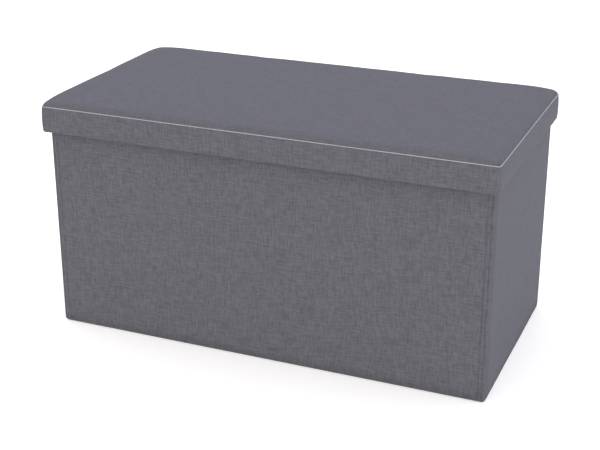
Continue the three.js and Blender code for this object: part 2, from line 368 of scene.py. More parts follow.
def woven(name, yarn, dash, dark, light, slub, patchiness, contrast, relief, sheen,
          sheen_tint=(1, 1, 1, 1)):
    """A woven finish that follows the piece's own cloth coordinates, in metres."""
    material, tree, shader = start_material(name, 0.9, sheen, sheen_tint)
    cloth = wire(tree, "ShaderNodeUVMap", uv_map="cloth").outputs[0]
    weave = wire(
        tree, "ShaderNodeGroup",
        {
            "Cloth": cloth, "Yarn": yarn, "Dash": dash, "Dark": (*dark, 1), "Light": (*light, 1),
            "Slub": slub, "Patchiness": patchiness, "Contrast": contrast,
        },
        node_tree=WEAVE,
    )
    bump = wire(
        tree, "ShaderNodeBump",
        {"Strength": WEAVE_BUMP, "Distance": relief, "Height": weave.outputs["Height"]},
    )
    tree.links.new(weave.outputs["Color"], shader.inputs["Base Color"])
    tree.links.new(weave.outputs["Roughness"], shader.inputs["Roughness"])
    tree.links.new(bump.outputs[0], shader.inputs["Normal"])
    return material


def paint_light_by_facing(material, axis, begins, full, dark, light, contrast):
    """Where the cloth faces along an axis, blends the weave to the given shades and contrast; with
    lighter, cooler shades this is painted light.
    """
    tree = material.node_tree
    weave = next(n for n in tree.nodes if n.type == "GROUP")
    facing = wire(tree, "ShaderNodeTexCoord").outputs["Normal"]
    along = maths(tree, "ABSOLUTE", wire(tree, "ShaderNodeSeparateXYZ", {0: facing}).outputs[axis])
    # Painted light: where the cloth faces along the axis, the weave takes the lighter, cooler shades
    # given here.
    lit_share = wire(tree, "ShaderNodeMapRange", {"Value": along, "From Min": begins, "From Max": full})
    for label, lit_colour in (("Dark", dark), ("Light", light)):
        own_colour = tuple(weave.inputs[label].default_value)
        blend = wire(
            tree, "ShaderNodeMix", {0: lit_share.outputs[0], 6: own_colour, 7: (*lit_colour, 1)},
            data_type="RGBA",
        )
        tree.links.new(blend.outputs[2], weave.inputs[label])
    own_contrast = weave.inputs["Contrast"].default_value
    swing = wire(tree, "ShaderNodeMix", {0: lit_share.outputs[0], 2: own_contrast, 3: contrast})
    tree.links.new(swing.outputs[0], weave.inputs["Contrast"])


print("woven finish helpers ready")

# %% Linen, top-lit linen and tape
linen_dark, linen_light = (0.0678, 0.0665, 0.0728), (0.1930, 0.1900, 0.2076)
# Painted light: the end shades are a little lighter and cooler than the linen's own, for the cool
# light falling on the right end.
end_lit_dark, end_lit_light = (0.0688, 0.0675, 0.0770), (0.1955, 0.1930, 0.2200)
# Painted light: the seat top's shades are lighter and cooler than the linen's own, for the light
# falling on the top.
seat_top_lit_dark, seat_top_lit_light = (0.0752, 0.0738, 0.0838), (0.2135, 0.2098, 0.2385)
LINEN_YARN, LINEN_DASH = 0.95 * MM, 0.11
LINEN_PATCHINESS, LINEN_CONTRAST = 0.06, 0.31
linen = woven("linen_look_weave", LINEN_YARN, LINEN_DASH, linen_dark, linen_light, slub=1.1,
              patchiness=LINEN_PATCHINESS, contrast=LINEN_CONTRAST, relief=0.25 * MM,
              sheen=0.03, sheen_tint=(0.88, 0.92, 1.0, 1))
seat_linen = woven("top_lit_linen_look_weave", LINEN_YARN, LINEN_DASH, linen_dark, linen_light,
                   slub=0.6, patchiness=LINEN_PATCHINESS, contrast=LINEN_CONTRAST,
                   relief=0.15 * MM, sheen=0.0)

ALONG_X, ALONG_Z = 0, 2
paint_light_by_facing(seat_linen, ALONG_Z, begins=0.5, full=0.97,
                     dark=seat_top_lit_dark, light=seat_top_lit_light, contrast=0.22)
paint_light_by_facing(linen, ALONG_X, begins=0.7, full=0.95,
                     dark=end_lit_dark, light=end_lit_light, contrast=0.17)
tape_cloth = woven("dark_woven_tape", yarn=0.45 * MM, dash=0.02, dark=(0.018, 0.018, 0.020),
                   light=(0.050, 0.050, 0.054), slub=0.1, patchiness=0.02, contrast=1.0,
                   relief=0.12 * MM, sheen=0.1)
print("woven finishes:", [m.name for m in (linen, seat_linen, tape_cloth)])

# %% [markdown]
# ## Plain finishes
#
# Piping, lining, thread, board and foam have no weave. Each has one pattern: two twisted
# plies, bond dots, matted fibres or open cells. A pattern mixes two close shades, and most
# also lift the surface a little, so one helper ends them all. The piping follows its own
# cloth coordinates. The others read object coordinates, because they have no direction to
# follow.

# %% Plain finish helpers
def plain_pattern(name, roughness, sheen=0.0):
    """A material whose pattern reads object coordinates, and the sockets to build on."""
    material, tree, shader = start_material(name, roughness, sheen)
    place = wire(tree, "ShaderNodeTexCoord").outputs["Object"]
    return material, tree, shader, place


def two_shades(tree, shader, mask, dark, light, height=None, strength=0.5, relief=0.1 * MM):
    """Mixes two shades by a mask, and bumps the surface where a height is given."""
    colour = wire(
        tree, "ShaderNodeMix", {0: mask, 6: (*dark, 1), 7: (*light, 1)}, data_type="RGBA",
    )
    tree.links.new(colour.outputs[2], shader.inputs["Base Color"])
    if height is not None:
        bump = wire(
            tree, "ShaderNodeBump", {"Strength": strength, "Distance": relief, "Height": height},
        )
        tree.links.new(bump.outputs[0], shader.inputs["Normal"])


print("plain finish helpers ready")

# %% Piping and lining finishes
PLY_PITCH = 1.6 * MM


def piping_finish():
    """Two pale plies twisted together: slanting bands that follow the cord, darker in the grooves
    between the plies as painted shade.
    """
    material, tree, shader = start_material("pale_piping_cord", 0.7, 0.3)
    cloth = wire(tree, "ShaderNodeUVMap", uv_map="cloth").outputs[0]
    parts = wire(tree, "ShaderNodeSeparateXYZ", {0: cloth})
    slant = maths(tree, "ADD", parts.outputs[0], parts.outputs[1])
    turns = maths(tree, "MULTIPLY", slant, 2 * math.pi / PLY_PITCH)
    ply = wire(
        tree, "ShaderNodeMapRange", {"Value": maths(tree, "SINE", turns), "From Min": -1.0},
    ).outputs[0]
    # Painted shade: the same mask darkens the cord where it is low, in the grooves between the
    # plies.
    two_shades(tree, shader, ply, (0.26, 0.26, 0.28), (0.50, 0.50, 0.53), ply,
               strength=0.5, relief=0.3 * MM)
    return material


def lining_finish():
    """Point-bonded non-woven: matted fibres pressed together at a grid of small dots."""
    material, tree, shader, place = plain_pattern("non_woven_lining", 0.85, 0.15)
    fibres = wire(
        tree, "ShaderNodeTexNoise",
        {"Vector": place, "Scale": 900.0, "Detail": 3.0, "Distortion": 1.5},
    ).outputs["Fac"]
    cloudy = wire(tree, "ShaderNodeTexNoise", {"Vector": place, "Scale": 60.0, "Detail": 2.0})
    dots = wire(
        tree, "ShaderNodeTexVoronoi", {"Vector": place, "Scale": 480.0, "Randomness": 0.15},
    ).outputs["Distance"]
    dot_height = wire(
        tree, "ShaderNodeMapRange", {"Value": dots, "From Min": 0.1, "From Max": 0.4},
    ).outputs[0]
    blend = maths(tree, "MULTIPLY", maths(tree, "ADD", fibres, cloudy.outputs["Fac"]), 0.5)
    two_shades(tree, shader, blend, (0.022, 0.022, 0.024), (0.075, 0.075, 0.080), dot_height,
               strength=0.5, relief=0.15 * MM)
    return material


pale_cord = piping_finish()
lining = lining_finish()
print("made", pale_cord.name, "and", lining.name)


# %% Thread, board and foam finishes
def thread_finish(name, dark, light):
    """Sewing thread: too thin for relief, so only its shade wanders."""
    material, tree, shader, place = plain_pattern(name, 0.6, 0.2)
    ply = wire(tree, "ShaderNodeTexNoise", {"Vector": place, "Scale": 2500.0, "Detail": 1.0})
    two_shades(tree, shader, ply.outputs["Fac"], dark, light)
    return material


def board_finish():
    """Fibreboard: pale brown fibres, flattened on the faces, with darker specks."""
    material, tree, shader, place = plain_pattern("fibreboard", 0.7)
    fibres = wire(
        tree, "ShaderNodeTexNoise",
        {"Vector": place, "Scale": 420.0, "Detail": 6.0, "Roughness": 0.7, "Distortion": 0.6},
    ).outputs["Fac"]
    two_shades(tree, shader, fibres, (0.24, 0.15, 0.075), (0.52, 0.36, 0.20), fibres,
               strength=0.3, relief=0.2 * MM)
    return material


def foam_finish():
    """Upholstery foam: open cells a little under a millimetre across, painted darker in their
    hollows as shade.
    """
    material, tree, shader, place = plain_pattern("seat_foam", 0.95)
    cells = wire(tree, "ShaderNodeTexVoronoi", {"Vector": place, "Scale": 1100.0}).outputs[0]
    # Painted shade: the cells are darker where they are deepest, by the same mask that sinks them.
    two_shades(tree, shader, cells, (0.62, 0.55, 0.36), (0.86, 0.80, 0.62), cells,
               strength=0.6, relief=0.4 * MM)
    return material


grey_thread = thread_finish("grey_sewing_thread", (0.11, 0.11, 0.12), (0.24, 0.24, 0.26))
board = board_finish()
foam = foam_finish()
print("finishes:", len(bpy.data.materials))

# %% [markdown]
# ## Helpers for cloth pieces
#
# A finished piece needs the same few things every time: normals that point out, cloth coordinates in
# metres for the weave, a body to ride on, its finish and the plain solid it stands for. One helper
# does them all.

# %% Cloth coordinates and finished pieces
def cloth_coordinates(bm):
    """Lays the weave flat on each face, in metres, along whichever two axes it faces least."""
    layer = bm.loops.layers.uv.new("cloth")
    for face in bm.faces:
        facing = [abs(n) for n in face.normal]
        steepest = facing.index(max(facing))
        first, second = ((1, 2), (0, 2), (0, 1))[steepest]
        for loop in face.loops:
            loop[layer].uv = (loop.vert.co[first], loop.vert.co[second])


def finished(bm, name, material, body, stands_for=(), keep_normals=False):
    """Turns a bmesh into a piece that rides on a body and may stand for CAD nodes."""
    if not keep_normals:
        bmesh.ops.recalc_face_normals(bm, faces=bm.faces)
    cloth_coordinates(bm)
    for face in bm.faces:
        face.smooth = True
    mesh = bpy.data.meshes.new(name)
    bm.to_mesh(mesh)
    bm.free()
    mesh.materials.append(material)
    piece = bpy.data.objects.new(name, mesh)
    scene.collection.objects.link(piece)
    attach(piece, body)
    if stands_for:
        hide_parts(*stands_for)
    return piece


def thicken(piece, thickness, offset=-1.0):
    """Gives a sheet its thickness, inwards unless told otherwise."""
    wall = piece.modifiers.new("cloth_thickness", "SOLIDIFY")
    wall.thickness = thickness
    wall.offset = offset
    return piece


print("piece helpers ready")

# %% [markdown]
# ## Bands around the bench
#
# The skirt, the piping, the rim and the hem all run once around a rectangle with round
# corners. Each is made the same way: start with one face, round its corners with a vertex
# bevel, keep only its outline, and extrude that outline through a section, drawing it in
# or out as it goes. Bridging the last loop to the first closes the band. A cloth section
# goes out along one side and comes back along the other, so the cloth has a thickness.
# Where a section turns in further than the corner is round, the loop becomes a plain
# rectangle, and the cloth's small wander fades out towards its mitre so that it stays shut.

# %% Bands
MITRE_EASE = 15 * MM


def outline(bm, half_x, half_y, corner, step):
    """A closed loop of edges around a round-cornered rectangle."""
    bmesh.ops.create_grid(bm, x_segments=1, y_segments=1, size=1.0)
    bmesh.ops.scale(bm, vec=(half_x, half_y, 1), verts=bm.verts)
    bmesh.ops.bevel(
        bm, geom=bm.verts[:], offset=corner, offset_type="OFFSET", affect="VERTICES",
        segments=8, profile=0.5, material=-1,
    )
    for face in bm.faces[:]:
        bmesh.ops.delete(bm, geom=[face], context="FACES_ONLY")
    for edge in [e for e in bm.edges if e.calc_length() > 2 * corner]:
        cuts = int(edge.calc_length() / step)
        bmesh.ops.subdivide_edges(bm, edges=[edge], cuts=cuts)
    return bm.edges[:]


def doubled(section, thickness):
    """A section walked out along one side of the cloth and back along the other."""
    back = []
    for number, (inset, z) in enumerate(section):
        before = section[max(number - 1, 0)]
        after = section[min(number + 1, len(section) - 1)]
        along = Vector((after[0] - before[0], after[1] - before[1])).normalized()
        back.append((inset - along.y * thickness, z + along.x * thickness))
    return list(section) + back[::-1]


def band(section, half_x, half_y, corner, step=20 * MM, waver=lambda point: 0.0):
    """A closed band through (inset, height) points; waver moves the cloth in or out."""
    bm = bmesh.new()
    number = bm.verts.layers.int.new("number")
    edges = outline(bm, half_x, half_y, corner, step)
    core_x, core_y = half_x - corner, half_y - corner
    ways = []
    for v in bm.verts:
        core = Vector((max(-core_x, min(core_x, v.co.x)), max(-core_y, min(core_y, v.co.y)), 0))
        v[number] = len(ways)
        ways.append((core, (v.co - core).normalized()))

    def put(verts, inset, z):
        limit_x, limit_y = half_x - inset, half_y - inset
        for v in verts:
            core, way = ways[v[number]]
            place = core + way * (corner - inset)
            if inset > corner and min(abs(way.x), abs(way.y)) > 1e-4:
                place = Vector((math.copysign(limit_x, core.x), math.copysign(limit_y, core.y), 0))
            place.x = max(-limit_x, min(limit_x, place.x))
            place.y = max(-limit_y, min(limit_y, place.y))
            to_mitre = math.hypot(limit_x - abs(place.x), limit_y - abs(place.y))
            ease = min(to_mitre / MITRE_EASE, 1) if inset > corner else 1
            place.z = z
            v.co = place + way * waver(place) * ease

    put(bm.verts, *section[0])
    first_edges = edges
    for inset, z in section[1:]:
        grown = bmesh.ops.extrude_edge_only(bm, edges=edges)["geom"]
        edges = [g for g in grown if isinstance(g, bmesh.types.BMEdge)]
        put([g for g in grown if isinstance(g, bmesh.types.BMVert)], inset, z)
    bmesh.ops.bridge_loops(bm, edges=first_edges + edges)
    bmesh.ops.remove_doubles(bm, verts=bm.verts, dist=0.002 * MM)
    return bm


print("band helper ready, mitres eased over", round(MITRE_EASE / MM), "mm")

# %% [markdown]
# ## The padded seat
#
# The seat is cloth pulled over a thin foam pad and sewn along its edge, so it is nearly flat,
# with a round shoulder and a slight crown. A rounded slab is the starting shape. It is
# remeshed to even squares and run as cloth. The sewn edge is pinned, the cut is a touch
# generous, and a little air pressure stands for the foam's push. The foam also grips the
# cloth from below, which is a soft hold that fades out towards the edge. At the corners the
# cloth is gathered, so the pad starts out a little lower there. What the run adds
# is the slight pull and dimpling near the corners that no formula gives.

# %% Seat pad: starting shape
SEAT_SHOULDER = 7.5 * MM
SEAT_CORNER = 8 * MM
SEAT_CROWN = 1.2 * MM
SEAT_PLUMP = 1.0 * MM
CORNER_PULL = 3.4 * MM
CORNER_REACH = 26 * MM
SEAT_VOXEL = 5 * MM
SEAT_INSET = 1.2 * MM
SEAT_TUCK = 15 * MM
CUT_BELOW_SEAM = 4 * MM
TRIM_BELOW_SEAM = 1.0 * MM
PAD_SEGMENTS = 6


def slab(low, high):
    """A box between two corners."""
    bm = bmesh.new()
    bmesh.ops.create_cube(bm, size=1.0)
    size = Vector(high) - Vector(low)
    bmesh.ops.scale(bm, vec=size, verts=bm.verts)
    bmesh.ops.translate(bm, vec=(Vector(low) + Vector(high)) / 2, verts=bm.verts)
    return bm


def round_edges(bm, width, segments, choose):
    """Rounds the edges that choose picks."""
    edges = [e for e in bm.edges if choose(e)]
    bmesh.ops.bevel(
        bm, geom=edges, offset=width, offset_type="OFFSET", affect="EDGES",
        segments=segments, profile=0.5, material=-1,
    )


def is_upright(edge):
    a, b = edge.verts
    return abs(a.co.z - b.co.z) > 0.9 * edge.calc_length()


def crowned_pad(inset, bottom, top, corner, shoulder):
    """A slab with round upright corners and a round upper edge."""
    half_x, half_y = LID_X - inset, LID_Y - inset
    bm = slab((-half_x, -half_y, bottom), (half_x, half_y, top))
    round_edges(bm, corner, PAD_SEGMENTS, is_upright)
    round_edges(bm, shoulder, PAD_SEGMENTS, lambda e: all(abs(v.co.z - top) < 1e-6 for v in e.verts))
    return bm


def remeshed(bm, voxel):
    """The same shape in even squares, as a new mesh."""
    mesh = bpy.data.meshes.new("remesh_source")
    bm.to_mesh(mesh)
    bm.free()
    source = bpy.data.objects.new("remesh_source", mesh)
    scene.collection.objects.link(source)
    squares = source.modifiers.new("squares", "REMESH")
    squares.mode = "VOXEL"
    squares.voxel_size = voxel
    graph = bpy.context.evaluated_depsgraph_get()
    even = bpy.data.meshes.new_from_object(source.evaluated_get(graph))
    bpy.data.objects.remove(source)
    return even


print("pad helpers ready, squares of", round(SEAT_VOXEL / MM), "mm")

# %% [markdown]
# ## Running the seat as cloth
#
# Cloth settles into shapes that no bevel makes, so the pad is run for a few steps. Points
# near the seam are pinned. A hold of almost one over the foam and of little near the edge
# lets the shoulder move and keeps the flat top down. A thin pad lifts far more than a
# cushion does, so no point may move more than a millimetre.

# %% Seat pad: cloth simulation
FOAM_HOLD, EDGE_HOLD = 0.9, 0.12
HOLD_FROM, HOLD_FADE = 12 * MM, 60 * MM
FOAM_PUSH = 1.5
CUT_SLACK = 0.002
CLOTH_STEPS = 18
MOVE_CAP = 1.0 * MM
PIN_ABOVE_SEAM = 0.5 * MM


def relax_as_cloth(mesh, pinned, pressure, slack, steps, cap):
    """Runs a mesh as cloth with some vertices pinned, and caps how far a point may move."""
    start = [v.co.copy() for v in mesh.vertices]
    cloth_object = bpy.data.objects.new("cloth_run", mesh)
    scene.collection.objects.link(cloth_object)
    sewn = cloth_object.vertex_groups.new(name="sewn_edge")
    for vertex in mesh.vertices:
        from_edge = min(LID_X - abs(vertex.co.x), LID_Y - abs(vertex.co.y))
        hold = min(max((from_edge - HOLD_FROM) / HOLD_FADE, 0), 1)
        sewn.add([vertex.index], EDGE_HOLD + (FOAM_HOLD - EDGE_HOLD) * hold, "REPLACE")
    sewn.add(pinned, 1.0, "REPLACE")
    cloth = cloth_object.modifiers.new("cloth", "CLOTH")
    settings = cloth.settings
    settings.quality = 6
    settings.mass = 0.3
    settings.tension_stiffness = 20
    settings.compression_stiffness = 12
    settings.shear_stiffness = 8
    settings.bending_stiffness = 0.8
    settings.shrink_min = -slack
    settings.vertex_group_mass = sewn.name
    settings.use_pressure = True
    settings.uniform_pressure_force = pressure
    settings.effector_weights.gravity = 0
    cloth.point_cache.frame_start = 1
    cloth.point_cache.frame_end = steps
    for step in range(1, steps + 1):
        scene.frame_set(step)
    graph = bpy.context.evaluated_depsgraph_get()
    result = bpy.data.meshes.new_from_object(cloth_object.evaluated_get(graph))
    bpy.data.objects.remove(cloth_object)
    scene.frame_set(1)
    furthest = 0.0
    for vertex, before in zip(result.vertices, start):
        move = vertex.co - before
        furthest = max(furthest, move.length)
        if move.length > cap:
            vertex.co = before + move.normalized() * cap
    print(f"cloth moved up to {furthest / MM:.1f} mm, capped at {cap / MM:.1f} mm")
    return result


print("cloth run ready,", CLOTH_STEPS, "steps")

# %% Seat pad: crown it and run it
seat_bottom = SEAM_Z - SEAT_TUCK
pad = crowned_pad(SEAT_INSET, seat_bottom, SEAT_Z + SEAT_PLUMP - SEAT_CROWN, SEAT_CORNER,
                  SEAT_SHOULDER)
seat_mesh = remeshed(pad, SEAT_VOXEL)
bm = bmesh.new()
bm.from_mesh(seat_mesh)
bmesh.ops.bisect_plane(
    bm, geom=bm.verts[:] + bm.edges[:] + bm.faces[:], plane_co=(0, 0, SEAM_Z - CUT_BELOW_SEAM),
    plane_no=(0, 0, 1), clear_inner=True,
)
bm.to_mesh(seat_mesh)
bm.free()
for vertex in seat_mesh.vertices:
    share = (vertex.co.z - SEAM_Z) / (SEAT_Z - SEAM_Z)
    middle_x = 1 - (vertex.co.x / LID_X) ** 4
    middle_y = 1 - (vertex.co.y / LID_Y) ** 2
    to_corner = math.hypot(LID_X - abs(vertex.co.x), LID_Y - abs(vertex.co.y))
    pull = CORNER_PULL * math.exp(-((to_corner / CORNER_REACH) ** 2))
    rise = SEAT_CROWN * max(middle_x, 0) * max(middle_y, 0) - pull
    vertex.co.z += max(share, 0) * rise
low_points = [v.index for v in seat_mesh.vertices if v.co.z < SEAM_Z + PIN_ABOVE_SEAM]
seat_mesh = relax_as_cloth(seat_mesh, low_points, FOAM_PUSH, CUT_SLACK, CLOTH_STEPS, MOVE_CAP)
print("seat cloth:", len(seat_mesh.vertices), "points")

# %% [markdown]
# ## Trimming the seat
#
# The cloth is cut off just under the piping, where its edge can't be seen. The remeshed
# squares leave faint steps on the round shoulder, and a few passes of smoothing take them
# out without touching the seam.

# %% Seat pad: trim to the seam and finish
SMOOTHING_PASSES = 6
SMOOTH_ABOVE_SEAM = 1.5 * MM
bm = bmesh.new()
bm.from_mesh(seat_mesh)
bmesh.ops.bisect_plane(
    bm, geom=bm.verts[:] + bm.edges[:] + bm.faces[:], plane_co=(0, 0, SEAM_Z - TRIM_BELOW_SEAM),
    plane_no=(0, 0, 1), clear_inner=True,
)
above_seam = [v for v in bm.verts if v.co.z > SEAM_Z + SMOOTH_ABOVE_SEAM]
for smoothing in range(SMOOTHING_PASSES):
    bmesh.ops.smooth_vert(bm, verts=above_seam, factor=0.5, use_axis_z=True)
seat = finished(bm, "seat_top_cover", seat_linen, "lid", ["lid_top_cover"])
thicken(seat, FABRIC)
print("seat cover:", len(seat.data.polygons), "faces")

# %% [markdown]
# ## Foam under the seat
#
# The foam can only be seen with the cover off, but it is part of the bench. It is a softer
# copy of the same slab, a few millimetres inside the cloth.

# %% Foam pad
foam_low, foam_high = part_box("lid_foam")
FOAM_EASE = 2.5 * MM
bm = crowned_pad(LID_X - foam_high.x + FOAM_EASE, foam_low.z, foam_high.z - FOAM_EASE,
                 SEAT_CORNER, SEAT_SHOULDER)
foam_pad = finished(bm, "seat_foam_pad", foam, "lid", ["lid_foam"])
print("foam pad:", len(foam_pad.data.polygons), "faces")

# %% [markdown]
# ## Skirt
#
# The skirt is one band of cloth over thin boards. Its section starts tucked in at the seam,
# bellies out slightly, turns in under the boards as a soft hem and ends inside. Each point
# of the section is an inset from the lid's outline and a height.

# %% Skirt cover
SKIRT_CLOTH = 0.5 * MM
SKIRT_WANDER, SKIRT_WANDER_SPAN = 0.35 * MM, 50 * MM
skirt_in = FABRIC + 4.4 * MM
skirt_section = [
    (2.0 * MM, SEAM_Z - 0.4 * MM),
    (1.2 * MM, SEAM_Z),
    (0.6 * MM, SEAM_Z - 0.4 * MM),
    (0.3 * MM, SEAM_Z - 3.5 * MM),
    (-0.3 * MM, SEAM_Z - 10 * MM),
    (-0.6 * MM, SEAM_Z - 20 * MM),
    (-0.5 * MM, SEAM_Z - 30 * MM),
    (0.0, SKIRT_Z + 4.0 * MM),
    (0.4 * MM, SKIRT_Z + 1.6 * MM),
    (1.2 * MM, SKIRT_Z + 0.4 * MM),
    (2.6 * MM, SKIRT_Z),
    (skirt_in - 1.4 * MM, SKIRT_Z + 0.05 * MM),
    (skirt_in - 0.5 * MM, SKIRT_Z + 0.4 * MM),
    (skirt_in - 0.1 * MM, SKIRT_Z + 1.1 * MM),
]


def skirt_waver(point):
    """The skirt wanders in and out by a third of a millimetre, except at its seam."""
    below_seam = min((SEAM_Z - point.z) / (8 * MM), 1)
    return noise.noise(point / SKIRT_WANDER_SPAN) * SKIRT_WANDER * max(below_seam, 0)


bm = band(doubled(skirt_section, SKIRT_CLOTH), LID_X, LID_Y, LID_CORNER, 12 * MM, skirt_waver)
finished(bm, "skirt_cover", linen, "lid", ["lid_skirt_cover"])
print("skirt made,", len(skirt_section), "points round its section")

# %% [markdown]
# ## Piping
#
# Piping is a covered cord sewn into the seam, and it hides the line where skirt and seat
# meet. It is a band as well, with a round section. It is made a little thinner than the
# plain model's, because half of it is pressed into the seam.

# %% Piping
PIPING_SIDES = 10
PIPING_PRESSED = 0.85
piping_radius = (piping_high.z - piping_low.z) / 2 * PIPING_PRESSED
piping_inset = LID_X - piping_high.x + piping_radius
piping_section = []
for side in range(PIPING_SIDES):
    angle = 2 * math.pi * side / PIPING_SIDES
    piping_section.append((
        piping_inset - piping_radius * math.cos(angle),
        SEAM_Z + piping_radius * math.sin(angle),
    ))
bm = band(piping_section, LID_X, LID_Y, LID_CORNER, 8 * MM)
finished(bm, "seam_piping", pale_cord, "lid", ["lid_seam_piping"])
print("piping made, radius", round(piping_radius / MM, 2), "mm")

# %% [markdown]
# ## Wall covers
#
# Each wall is a taut panel of cloth. A grid is stood upright and its edges run in under the
# corner roll. Beside the corner the folded seam allowance lies under the cloth and lifts it,
# and a shallow groove shows where it ends. A faint belly keeps the light from looking
# computed. Near the top everything flattens, so that the lid slides over it.

# %% Wall covers
UNDER_ROLL = 1.4 * MM
GROOVE_FROM_EDGE = 6.5 * MM
GROOVE_WIDTH = 1.0 * MM
GROOVE_DEPTH = 1.2 * MM
GROOVE_FADE = 9 * MM
EDGE_ROLL = 3.0 * MM
EDGE_TURN = 0.9 * MM
WALL_SWELL = 0.4 * MM
WALL_BELLY = 0.7 * MM
WALL_LOW = 3.2 * MM
FLAT_TOP = 60 * MM
WALL_CLOTH = 0.8 * MM
WANDER = 0.25 * MM
WANDER_SPAN = 90 * MM
WANDER_FADE = 20 * MM
WALL_SQUARES = 24
# Cuts beside each edge in millimetres, closest together where the groove turns.
FOLD_CUTS = [0.5, 1.1, 1.8, 2.4, 3.0, 3.8, 4.6, 5.4, 6.0, 6.5, 7.0, 7.6, 8.4, 9.5]


def wall_panel(half_width, low_z, high_z):
    """An upright panel facing -Y at y = 0, from -half_width to half_width."""
    bm = bmesh.new()
    bmesh.ops.create_grid(bm, x_segments=WALL_SQUARES, y_segments=WALL_SQUARES, size=1.0)
    bmesh.ops.rotate(bm, cent=(0, 0, 0), matrix=Matrix.Rotation(math.pi / 2, 3, "X"),
                     verts=bm.verts)
    height = high_z - low_z
    bmesh.ops.scale(bm, vec=(half_width, 1, height / 2), verts=bm.verts)
    bmesh.ops.translate(bm, vec=(0, 0, (high_z + low_z) / 2), verts=bm.verts)
    for distance in FOLD_CUTS:
        for side in (-1, 1):
            bmesh.ops.bisect_plane(
                bm, geom=bm.verts[:] + bm.edges[:] + bm.faces[:],
                plane_co=(side * (half_width - distance * MM), 0, 0), plane_no=(1, 0, 0),
            )
    for v in bm.verts:
        from_edge = half_width - abs(v.co.x)
        share = min(from_edge / EDGE_ROLL, 1)
        groove = math.exp(-(((from_edge - GROOVE_FROM_EDGE) / GROOVE_WIDTH) ** 2)) * GROOVE_DEPTH
        groove *= min((v.co.z - low_z) / GROOVE_FADE, 1)
        up = (v.co.z - low_z) / height
        across = 1 - (v.co.x / half_width) ** 2
        belly = WALL_BELLY * math.sin(math.pi * up) * across
        free = min((high_z - v.co.z) / FLAT_TOP, 1)
        uneven = noise.noise(v.co / WANDER_SPAN) * WANDER * min(from_edge / WANDER_FADE, 1)
        turned_back = (1 - share) ** 2 * EDGE_TURN
        v.co.y = groove + turned_back - free * (WALL_SWELL + belly + uneven)
    return bm


wall_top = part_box("wall_cover_front")[1].z
front_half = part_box("wall_cover_front")[1].x + UNDER_ROLL
end_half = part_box("wall_cover_right")[1].y + UNDER_ROLL
for name, turns, half, reach in [
    ("front", 0, front_half, BODY_Y),
    ("right", 1, end_half, BODY_X),
    ("back", 2, front_half, BODY_Y),
    ("left", 3, end_half, BODY_X),
]:
    turned = Matrix.Rotation(turns * math.pi / 2, 3, "Z")
    bm = wall_panel(half, WALL_LOW, wall_top)
    bmesh.ops.translate(bm, vec=(0, -reach, 0), verts=bm.verts)
    bmesh.ops.rotate(bm, cent=(0, 0, 0), matrix=turned, verts=bm.verts)
    outward_way = turned @ Vector((0, -1, 0))
    bm.normal_update()
    if bm.faces[:][0].normal.dot(outward_way) < 0:
        bmesh.ops.reverse_faces(bm, faces=bm.faces[:])
    cover = finished(bm, f"{name}_wall_cover", linen, "bench_body",
                     [f"wall_cover_{name}"], keep_normals=True)
    thicken(cover, WALL_CLOTH)
print("wall covers made")

# %% [markdown]
# ## Corner seams
#
# Where two wall covers meet, their edges are sewn together over a thin filler, which leaves
# a soft upright roll. Each is a circle extruded upwards in short steps, so that it can
# wander by a fraction of a millimetre. It narrows and is closed at both ends.

# %% Corner seams
ROLL_FOOT = 2.2 * MM
ROLL_WANDER = 0.2 * MM
ROLL_STEPS = 24
FOOT_SHARE, END_SHARE = 0.85, 0.55

for long_name in ("front", "back"):
    for end_name in ("left", "right"):
        node = f"corner_seam_{long_name}_{end_name}"
        low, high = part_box(node)
        radius = (high.x - low.x) / 2
        centre = (low + high) / 2
        bm = bmesh.new()
        bmesh.ops.create_circle(bm, cap_ends=False, segments=14, radius=radius * END_SHARE)
        bmesh.ops.translate(bm, vec=(centre.x, centre.y, ROLL_FOOT), verts=bm.verts)
        edges = bm.edges[:]
        bmesh.ops.edgeloop_fill(bm, edges=edges)
        run = high.z - 10 * MM
        levels = [3.2 * MM] + [5 * MM + i * run / ROLL_STEPS for i in range(ROLL_STEPS + 1)]
        levels += [high.z - 1 * MM, high.z]
        for number, level in enumerate(levels):
            grown = bmesh.ops.extrude_edge_only(bm, edges=edges)["geom"]
            verts = [g for g in grown if isinstance(g, bmesh.types.BMVert)]
            edges = [g for g in grown if isinstance(g, bmesh.types.BMEdge)]
            wander = ROLL_WANDER * noise.noise(Vector((centre.x, centre.y, level)) / 0.04)
            full = {0: FOOT_SHARE, len(levels) - 1: END_SHARE}.get(number, 1.0)
            middle_now = Vector((centre.x + wander, centre.y - wander, 0))
            for v in verts:
                away = Vector((v.co.x, v.co.y, 0)) - middle_now
                v.co = middle_now + away.normalized() * radius * full
                v.co.z = level
        bmesh.ops.edgeloop_fill(bm, edges=edges)
        finished(bm, f"{long_name}_{end_name}_corner_roll", linen, "bench_body",
                 [node])
print("corner seams made")

# %% [markdown]
# ## Rim facing
#
# With the lid off, the outer cloth shows where it crosses the top of the walls and turns
# down inside. It is one band, taut over the rim, and it hangs with a slight ripple inside,
# where it laps over the lining.

